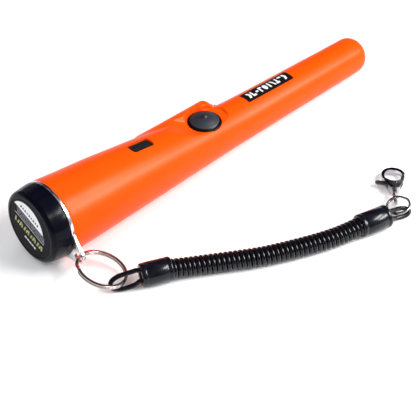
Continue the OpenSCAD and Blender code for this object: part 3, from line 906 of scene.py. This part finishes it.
def make_bezel():
    z0, z1 = POCKET_Z + 0.02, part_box("button_bezel")[1].z / MM + 0.1
    r1, r0 = BEZEL_R + 0.12, BEZEL_R - 0.75
    outline = [(z0, 2.7), (z0, r1), (z1 - 0.3, r1)] + arc((z1 - 0.3, r1 - 0.3), 0.3, 90, 0, 4)[1:]
    outline += arc((z1 - 0.3, r0 + 0.3), 0.3, 0, -90, 4) + [(z0 + 0.07, r0), (z0 + 0.07, 2.7)]
    ring = revolve("bezel_ring", scaled(outline), upright(BUTTON_X), 128, closed=True)
    finish_piece(ring, "probe", "bezel_black", ["button_bezel"])


def skin_station(x):
    """The distance along the tube whose top lies at x."""
    s = x - REAR.x
    for _ in range(6):
        s += x - skin_point(s, 0).x
    return s


def on_skin(x, y, lift):
    """A point over the housing's top at x and y, raised off the skin."""
    s = skin_station(x)
    center, tilt = station(s)
    r = tube_radius(s) + lift
    return Vector((x, y, center.z + math.sqrt(max(0.0, r * r - y * y)) * math.cos(tilt)
                   + (r * (1 - math.cos(math.asin(min(1.0, abs(y) / r))))) * math.sin(tilt) ** 2))


PATCH_STEP = 0.6
SHORT_PATCH = 12


def skin_patch(name, outline, lift, thick, slot, replaced=(), material=None):
    """A thin printed or cut shape that follows the housing's top. The outline is in x and y."""
    sheet = bmesh.new()
    corners = [sheet.verts.new((x, y, 0)) for x, y in outline]
    sheet.faces.new(corners)
    for axis in (0, 1):
        values = [p[axis] for p in outline]
        low, high = min(values), max(values)
        cuts = max(1, int((high - low) / PATCH_STEP))
        normal = Vector((1, 0, 0)) if axis == 0 else Vector((0, 1, 0))
        if axis == 0 and high - low < SHORT_PATCH:
            cuts = max(1, cuts // 3)
        for k in range(1, cuts):
            at = low + (high - low) * k / cuts
            bmesh.ops.bisect_plane(sheet, geom=sheet.verts[:] + sheet.edges[:] + sheet.faces[:],
                                   plane_co=normal * at, plane_no=normal)
    for v in sheet.verts:
        v.co = on_skin(v.co.x, v.co.y, lift) * MM
    bottom = bmesh.ops.extrude_face_region(sheet, geom=sheet.faces[:])
    moved = [v for v in bottom["geom"] if isinstance(v, bmesh.types.BMVert)]
    for v in moved:
        v.co.z += thick * MM
    bmesh.ops.recalc_face_normals(sheet, faces=sheet.faces[:])
    mesh = bpy.data.meshes.new(name)
    sheet.to_mesh(mesh)
    sheet.free()
    obj = bpy.data.objects.new(name, mesh)
    bpy.context.collection.objects.link(obj)
    return finish_piece(obj, "probe", slot, replaced, material)


def rounded_rectangle(x0, x1, half, r, steps=5):
    out = []
    for cx, cy, a in ((x1 - r, half - r, 0), (x0 + r, half - r, 90), (x0 + r, r - half, 180),
                      (x1 - r, r - half, 270)):
        out += arc((cx, cy), r, a, a + 90, steps)
    return out


def make_grille():
    x0, x1 = SLOT_X - SLOT_SIZE[0] / 2 + 0.12, SLOT_X + SLOT_SIZE[0] / 2 - 0.12
    half = SLOT_SIZE[1] / 2 - 0.12
    skin_patch("speaker_grille_piece", rounded_rectangle(x0, x1, half, SLOT_ROUND), -SLOT_DEPTH - 0.1,
               0.45, "grille_black", ["speaker_grille"])
    for name, y in (("grille_bar_left", 1.75), ("grille_bar_middle", 0.0), ("grille_bar_right", -1.75)):
        bar = [(x, y + v) for x, v in rounded_rectangle(x0 + 1.2, x1 - 1.2, 0.5, 0.4, 3)]
        skin_patch(name, bar, -SLOT_DEPTH + 0.3, 0.45, "grille_black")


LABEL_LOW, LABEL_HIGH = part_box("body_label")


def make_body_label():
    x0, x1 = LABEL_LOW.x / MM, LABEL_HIGH.x / MM
    half = LABEL_HIGH.y / MM
    skin_patch("label_strip", rounded_rectangle(x0, x1, half, 0.5, 3), 0.01, 0.14, "printed_strip",
               ["body_label"])
    # Marks of one height. They follow the photo's printed name too closely, and plain bars should replace them.
    tall, wide = 2.05, 2.3
    shapes = [
        [(0, 1), (0.62, 1), (1, 0), (0.62, -1), (0, -1), (0.4, 0)],
        [(0, 1), (0.4, 1), (0.4, -0.4), (1, -0.4), (1, -1), (0, -1)],
        [(0.15, 0.3), (0.85, 0.3), (0.85, -0.3), (0.15, -0.3)],
        [(0, 1), (0.95, 1), (0.95, 0.4), (0.42, 0.4), (0.42, -1), (0, -1)],
        [(0.5 + 0.55 * math.cos(t * math.pi / 10), math.sin(t * math.pi / 10)) for t in range(20)],
        [(0.3, 1), (0.75, 1), (0.75, -1), (0.3, -1)],
        [(0, 1), (0.4, 1), (1, -1), (0.6, -1)],
        [(0.3, 1), (0.7, 1), (0.7, -0.4), (1, -0.4), (1, -1), (0, -1), (0, -0.4), (0.3, -0.4)],
        [(0, 1), (1, 1), (1, 0.4), (0, 0.4)],
        [(0, 1), (0.62, 1), (1, 0), (0.62, -1), (0, -1), (0.4, 0)],
    ]
    pitch = (x1 - x0 - 4.4) / len(shapes)
    marks = []
    for i, shape in enumerate(shapes):
        x = x0 + 2.5 + pitch * i
        outline = [(x + u * wide, v * tall) for u, v in shape]
        marks.append(skin_patch(f"label_mark_{i}", outline, 0.16, 0.03, "printed_strip",
                                material="print_white"))
    joined("label_marks", marks)


make_button()
make_bezel()
make_grille()
make_body_label()


# ---------------------------------------------------------------- battery cap and its label
CAP_FRAME = axis_frame(REAR * MM, GRIP_AXIS)
CAP_LEN = 11.5
CAP_R = 18.85
CAP_SHOULDER_R = 17.95
CAP_BORE = 16.98
DISC_R = 14.8
MARK_TURN = math.radians(20.4)


def make_cap():
    rear, edge, shoulder = 1.8, 2.2, 2.5
    outline = [(2.15, 0.0), (2.15, DISC_R + 0.08), (2.0, DISC_R + 0.12), (rear + 0.08, DISC_R + 0.16)]
    outline += [(rear, DISC_R + 0.3), (rear, CAP_SHOULDER_R - shoulder)]
    for k in range(1, 13):
        t = math.pi / 2 * k / 12
        outline.append((rear + edge * (1 - math.cos(t)), CAP_SHOULDER_R - shoulder * (1 - math.sin(t))))
    outline += [(6.5, 18.4), (9.2, 18.72), (CAP_LEN - 0.8, CAP_R)]
    outline += arc((CAP_LEN - 0.5, CAP_R - 0.45), 0.45, 80, 0, 4)
    outline += [(CAP_LEN, 17.35), (CAP_LEN - 0.4, 17.0)]
    for k in range(16):
        outline.append((CAP_LEN - 0.6 - 0.4 * k, CAP_BORE + 0.12 * (k % 2)))
    outline += [(4.2, CAP_BORE), (4.2, 0.0)]
    cap = revolve("cap_shell", scaled(outline), CAP_FRAME, 160)
    finish_piece(cap, "battery_cap", "cap_black", ["battery_cap"])


def disc_point(t, n, depth):
    """A point of the cap's rear disc: t runs along its printed rows and n across them."""
    y = -t * math.cos(MARK_TURN) - n * math.sin(MARK_TURN)
    z = -t * math.sin(MARK_TURN) + n * math.cos(MARK_TURN)
    return CAP_FRAME @ (Vector((depth, y, z)) * MM)


def disc_patch(name, outline, material, depth=1.86, thick=0.05):
    count = len(outline)
    points = [disc_point(t, n, d) for d in (depth, depth + thick) for t, n in outline]
    faces = [tuple(range(count)), tuple(reversed(range(count, 2 * count)))]
    faces += [(k, count + k, count + (k + 1) % count, (k + 1) % count) for k in range(count)]
    piece = mesh_object(name, points, faces)
    fixer = bmesh.new()
    fixer.from_mesh(piece.data)
    bmesh.ops.recalc_face_normals(fixer, faces=fixer.faces[:])
    fixer.to_mesh(piece.data)
    fixer.free()
    return finish_piece(piece, "battery_cap", "printed_disc", (), material)


def box_mark(t0, t1, n0, n1):
    return [(t0, n0), (t1, n0), (t1, n1), (t0, n1)]


def make_cap_label():
    outline = scaled([(2.1, 0.0), (2.1, DISC_R - 0.06)] + arc((2.03, DISC_R - 0.12), 0.1, 90, 180, 3)
                     + [(1.93, DISC_R - 0.4), (1.93, 0.0)])
    disc = revolve("cap_disc", outline[::-1], CAP_FRAME, 128)
    finish_piece(disc, "battery_cap", "printed_disc", ["cap_label"])
    chord, radius = 4.8, 11.9
    half = math.degrees(math.acos(chord / radius))
    segment = arc((-2.4, 0.0), radius, 90 - half, 90 + half, 24)
    white = [disc_patch("cap_mark_white", segment, "print_white")]
    white.append(disc_patch("w", box_mark(-11.4, 10.4, -0.14, 0.12), "print_white"))
    for i in range(5):
        t = -1.6 + 1.75 * i
        white.append(disc_patch("w", box_mark(t, t + 1.2, -8.7, -7.7), "print_white"))
    joined("cap_marks_white", white)
    dark = []
    for i in range(9):
        t = -9.0 + 1.55 * i
        tall = 1.0 if i % 2 else 1.5
        dark.append(disc_patch("d", box_mark(t, t + 0.75, 7.1 - tall / 2, 7.1 + tall / 2), "printed_disc",
                               1.82, 0.04))
    joined("cap_marks_dark", dark)
    grey = []
    for row, n in enumerate((3.9, 3.0, 2.1, 1.2)):
        t, i = -11.0 + 0.3 * row, row
        while t < 9.4:
            length = 1.1 + 0.7 * ((i * 7) % 4)
            bar = box_mark(t, min(t + length, 10.6), n - 0.2, n + 0.2)
            grey.append(disc_patch("g", bar, "print_grey"))
            t += length + 0.5
            i += 1
    joined("cap_marks_grey", grey)
    olive = []
    for i in range(13):
        t = -10.2 + 1.65 * i
        lean = 0.5 if i % 3 else -0.3
        low, high = -5.2, -2.2 - 0.5 * (i % 2)
        slanted = [(t, low), (t + 0.95, low), (t + 0.95 + lean, high), (t + lean, high)]
        olive.append(disc_patch("o", slanted, "print_olive"))
    joined("cap_marks_olive", olive)


make_cap()
make_cap_label()


# ---------------------------------------------------------------- lens
LENS_AT = 125.6
LENS_R = 1.25


def make_lens():
    """A small clear lens set square into the sloping front of the shoulder."""
    s, r = LENS_AT, LENS_R
    along = (skin_point(s + 0.8, HUMP_ANGLE) - skin_point(s - 0.8, HUMP_ANGLE)).normalized()
    outward = Vector((0, -math.sin(math.radians(HUMP_ANGLE)), math.cos(math.radians(HUMP_ANGLE))))
    outward = (outward - along * along.dot(outward)).normalized()
    place = axis_frame(skin_point(s, HUMP_ANGLE) * MM, outward)
    outline = [(-3.0, 0.0), (-3.0, r), (-0.1, r)]
    outline += [(-0.1 + 0.42 * math.sin(t), r * math.cos(t)) for t in (0.25, 0.5, 0.75, 1.0, 1.25)]
    lens = revolve("led_lens_piece", scaled(outline + [(0.32, 0.0)]), place, 48)
    finish_piece(lens, "probe", "lens_clear", ["led_lens"])
    rim = revolve("lens_rim", scaled([(-1.2, r + 0.02), (-1.2, r + 0.3), (-0.05, r + 0.3)]
                                     + arc((-0.05, r + 0.2), 0.1, 90, 0, 3)[1:] + [(0.05, r + 0.02)]),
                  place, 64, closed=True)
    finish_piece(rim, "probe", "bezel_black")


make_lens()


# ---------------------------------------------------------------- floor, lights and world
def make_floor():
    half = 6.0
    floor = mesh_object("floor", [(-half, -half, 0), (half, -half, 0), (half, half, 0), (-half, half, 0)],
                        [(0, 1, 2, 3)])
    floor.data.materials.append(MATERIALS["floor_white"])


def area_light(name, place, target, size, watts, glossy=True, diffuse=True):
    data = bpy.data.lights.new(name, "AREA")
    data.shape = "RECTANGLE"
    data.size, data.size_y = size
    data.energy = watts
    light = bpy.data.objects.new(name, data)
    bpy.context.collection.objects.link(light)
    light.location = place
    light.visible_glossy = glossy
    light.visible_diffuse = diffuse
    light.rotation_euler = (Vector(target) - Vector(place)).to_track_quat("-Z", "Y").to_euler()


def make_world():
    """A dim studio: broad patches of light and dark, for the polished metal to reflect."""
    world = bpy.data.worlds.new("world")
    bpy.context.scene.world = world
    world.use_nodes = True
    tree = world.node_tree
    coordinate = tree.nodes.new("ShaderNodeTexCoord")
    patches = noise(tree, coordinate.outputs["Generated"], 2.6, 1.0)
    background = tree.nodes["Background"]
    color = ramp(tree, patches, (0.02, 0.02, 0.025), (0.9, 0.94, 1.0), 0.42, 0.58)
    tree.links.new(color, background.inputs["Color"])
    background.inputs["Strength"].default_value = 0.42


make_floor()
make_world()
bpy.context.scene.view_settings.view_transform = "Standard"
area_light("top", (0.05, 0.45, 1.1), (0, 0, 0), (1.3, 0.7), 4.5, glossy=False)
BAND_SIZE = (0.6, 0.19)
BAND_TARGET = (0, -0.03, 0)
for band, place in (("upper", (0.45, -0.62, 0.83)), ("lower", (0.6, -0.78, 0.56))):
    area_light(f"band_{band}", place, BAND_TARGET, BAND_SIZE, 9.0)
    area_light(f"sheen_{band}", place, BAND_TARGET, BAND_SIZE, 11.0, diffuse=False)
area_light("fill", (-1.1, -0.2, 1.2), (-0.05, -0.03, 0), (1.8, 1.3), 15.0, glossy=False)
